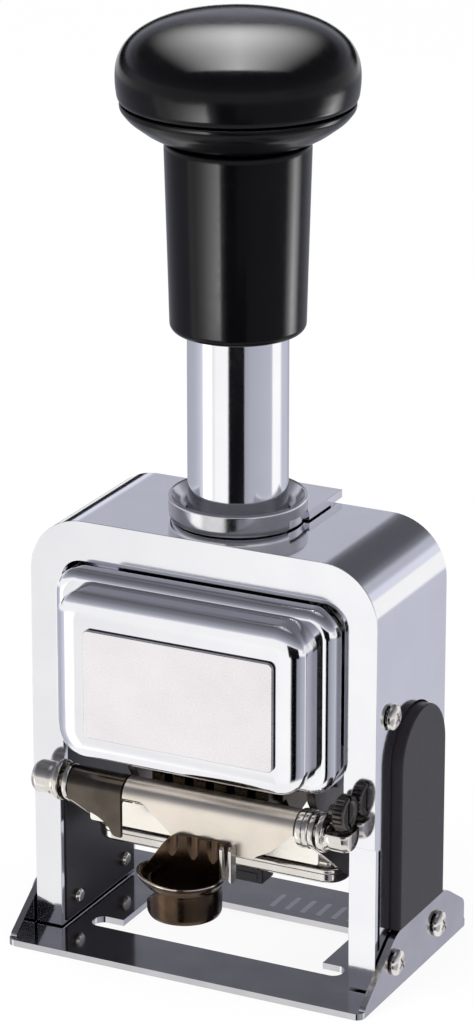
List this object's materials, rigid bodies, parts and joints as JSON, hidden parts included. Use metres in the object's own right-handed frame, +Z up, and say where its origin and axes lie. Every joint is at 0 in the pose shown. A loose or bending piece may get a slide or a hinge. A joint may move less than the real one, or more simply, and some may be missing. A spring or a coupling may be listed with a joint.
{
  "type": "numbering machine",
  "caption": "Desk numbering machine: black knob on a chrome plunger, U frame with a box front, figure wheels inside and a swinging ink pad holder.",
  "frame": {"origin": "on the desk surface, under the middle of the bounding box", "axes": "+Z up along the plunger, -Y to the front with the box and the finger tab, +X to the operator's right"},
  "size_m": [0.0736, 0.0534, 0.17],
  "materials": {
    "chrome": "polished",
    "nickel": "bright nickel plate",
    "warm_nickel": "bright nickel plate with a warm tint",
    "steel": "plain",
    "satin": "satin",
    "brass": "plain",
    "gloss_black": "glossy",
    "black_plastic": "half matt",
    "felt": "felt"
  },
  "bodies": {
    "base": {"base_plate": "chrome", "base_screw_1": "nickel", "base_screw_2": "nickel", "base_screw_3": "nickel", "base_screw_4": "nickel", "outer_frame": "chrome", "side_insert_left": "black_plastic", "side_insert_right": "black_plastic", "side_screw_left": "nickel", "side_screw_right": "nickel", "front_cover": "chrome", "label_plate": "satin", "collar": "chrome", "spring_bridge": "steel", "spring_post": "steel", "main_spring": "steel", "pad_pivot_rod": "nickel", "pad_bracket_left": "nickel", "pad_bracket_right": "nickel"},
    "plunger": {"knob_cap": "gloss_black", "knob_body": "gloss_black", "grip_sleeve": "gloss_black", "plunger_tube": "chrome", "tube_plug": "nickel", "carriage_yoke": "steel", "wheel_shaft": "steel", "guide_shoe_left": "black_plastic", "guide_shoe_right": "black_plastic", "carriage_rear_plate": "steel", "detent_comb": "steel"},
    "wheel_1": {"number_wheel_1": "nickel"},
    "wheel_2": {"number_wheel_2": "nickel"},
    "wheel_3": {"number_wheel_3": "nickel"},
    "wheel_4": {"number_wheel_4": "nickel"},
    "wheel_5": {"number_wheel_5": "nickel"},
    "wheel_6": {"number_wheel_6": "nickel"},
    "feed": {"feed_rocker": "steel", "feed_pawl": "brass"},
    "selector": {"repeat_selector": "brass"},
    "lock": {"lock_slide": "chrome"},
    "pad": {"pad_carrier": "nickel", "pad_tray": "nickel", "ink_pad": "felt", "finger_tab": "warm_nickel"},
    "thumbscrew": {"pad_thumbscrew": "steel"}
  },
  "joints": [
    {"name": "plunger_press", "type": "slide", "parent": "base", "child": "plunger", "axis": [0, 0, -1], "range_m": [0, 0.023], "stiffness_N_per_m": 400, "springref_m": -0.02, "deforming": ["main_spring"]},
    {"name": "pad_swing", "type": "hinge", "parent": "base", "child": "pad", "pos_m": [0, -0.0137, 0.0321], "axis": [-1, 0, 0], "range_deg": [0, 80]},
    {"name": "feed_swing", "type": "hinge", "parent": "plunger", "child": "feed", "pos_m": [0, 0.004, 0.0346], "axis": [-1, 0, 0], "range_deg": [0, 38]},
    {"name": "wheel_1_turn", "type": "hinge", "parent": "plunger", "child": "wheel_1", "pos_m": [0, 0.004, 0.0346], "axis": [1, 0, 0], "continuous": true},
    {"name": "wheel_2_turn", "type": "hinge", "parent": "plunger", "child": "wheel_2", "pos_m": [0, 0.004, 0.0346], "axis": [1, 0, 0], "continuous": true},
    {"name": "wheel_3_turn", "type": "hinge", "parent": "plunger", "child": "wheel_3", "pos_m": [0, 0.004, 0.0346], "axis": [1, 0, 0], "continuous": true},
    {"name": "wheel_4_turn", "type": "hinge", "parent": "plunger", "child": "wheel_4", "pos_m": [0, 0.004, 0.0346], "axis": [1, 0, 0], "continuous": true},
    {"name": "wheel_5_turn", "type": "hinge", "parent": "plunger", "child": "wheel_5", "pos_m": [0, 0.004, 0.0346], "axis": [1, 0, 0], "continuous": true},
    {"name": "wheel_6_turn", "type": "hinge", "parent": "plunger", "child": "wheel_6", "pos_m": [0, 0.004, 0.0346], "axis": [1, 0, 0], "continuous": true},
    {"name": "selector_turn", "type": "hinge", "parent": "plunger", "child": "selector", "pos_m": [0, 0.01755, 0.06], "axis": [0, 1, 0], "range_deg": [0, 270]},
    {"name": "lock_travel", "type": "slide", "parent": "base", "child": "lock", "axis": [0, 1, 0], "range_m": [0, 0.0022]},
    {"name": "thumbscrew_turn", "type": "hinge", "parent": "base", "child": "thumbscrew", "pos_m": [0.02675, -0.01405, 0.0365], "axis": [1, 0, 0], "continuous": true}
  ],
  "couplings": [
    {"joint": "pad_swing", "follows": "plunger_press", "rad_per_m": 60.7},
    {"joint": "feed_swing", "follows": "plunger_press", "rad_per_m": 28.8}
  ]
}
